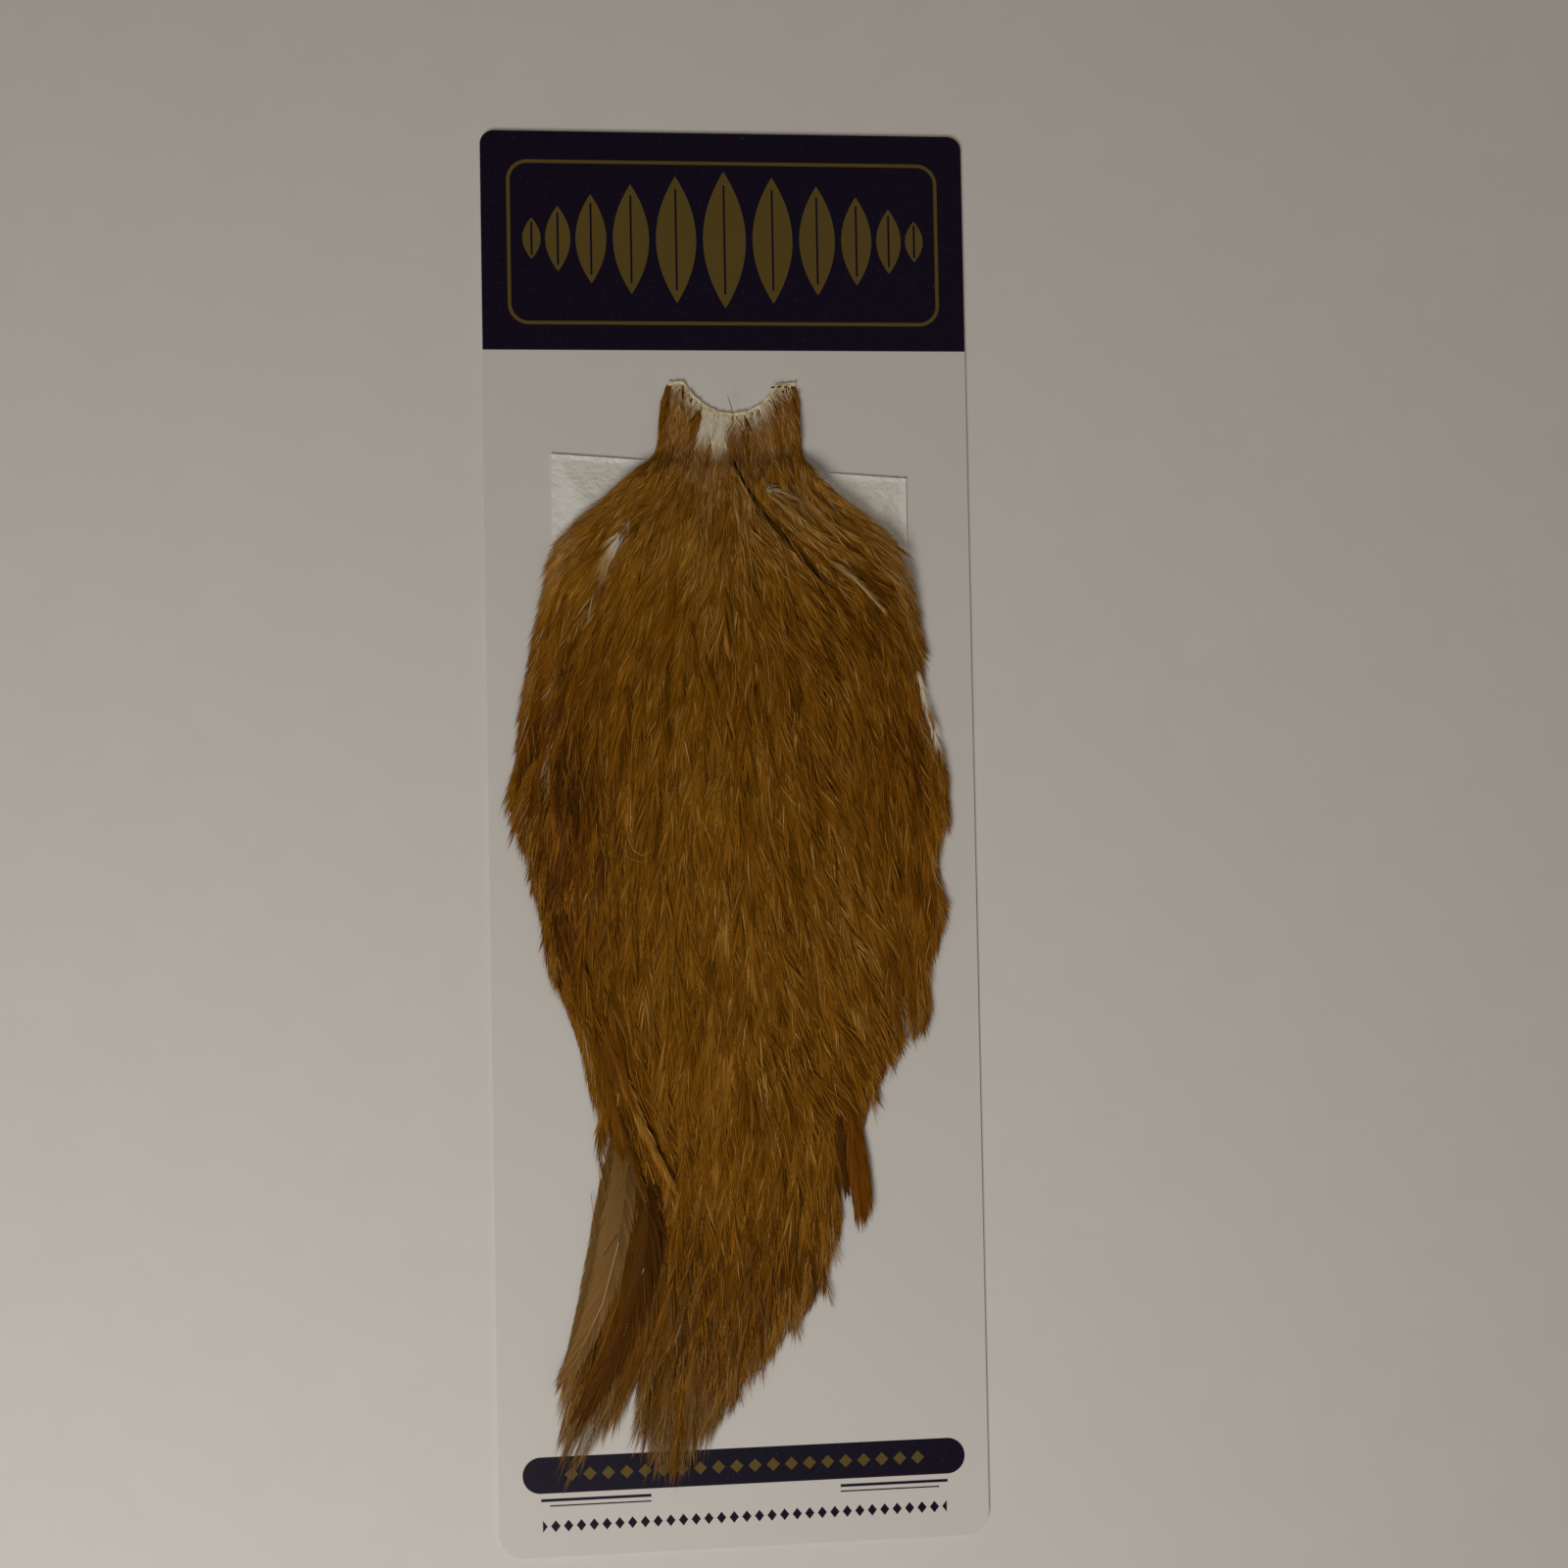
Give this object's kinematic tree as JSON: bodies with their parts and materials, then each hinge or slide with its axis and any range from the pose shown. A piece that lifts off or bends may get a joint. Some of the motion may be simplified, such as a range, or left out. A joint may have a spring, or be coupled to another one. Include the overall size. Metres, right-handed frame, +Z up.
{
  "type": "rooster cape",
  "caption": "Golden-brown rooster neck skin with its full coat of feathers, laid flat on a printed backing card over a thin film-covered pad.",
  "frame": {"origin": "middle of the back face of the card, on the surface that the card lies on", "axes": "+Y along the card towards its printed header, +Z up out of the feathers, +X to the right of a viewer who looks down with the header at the top"},
  "size_m": [0.1396, 0.4064, 0.0187],
  "materials": {
    "card": "coated white card with a dark blue print",
    "pad_film": "white absorbent pad under thin crinkled clear film",
    "feathers": "golden-brown feathers with a soft sheen, on dried skin"
  },
  "bodies": {
    "root": {"card": "card", "pad": "pad_film", "cape": "feathers"}
  },
  "joints": []
}
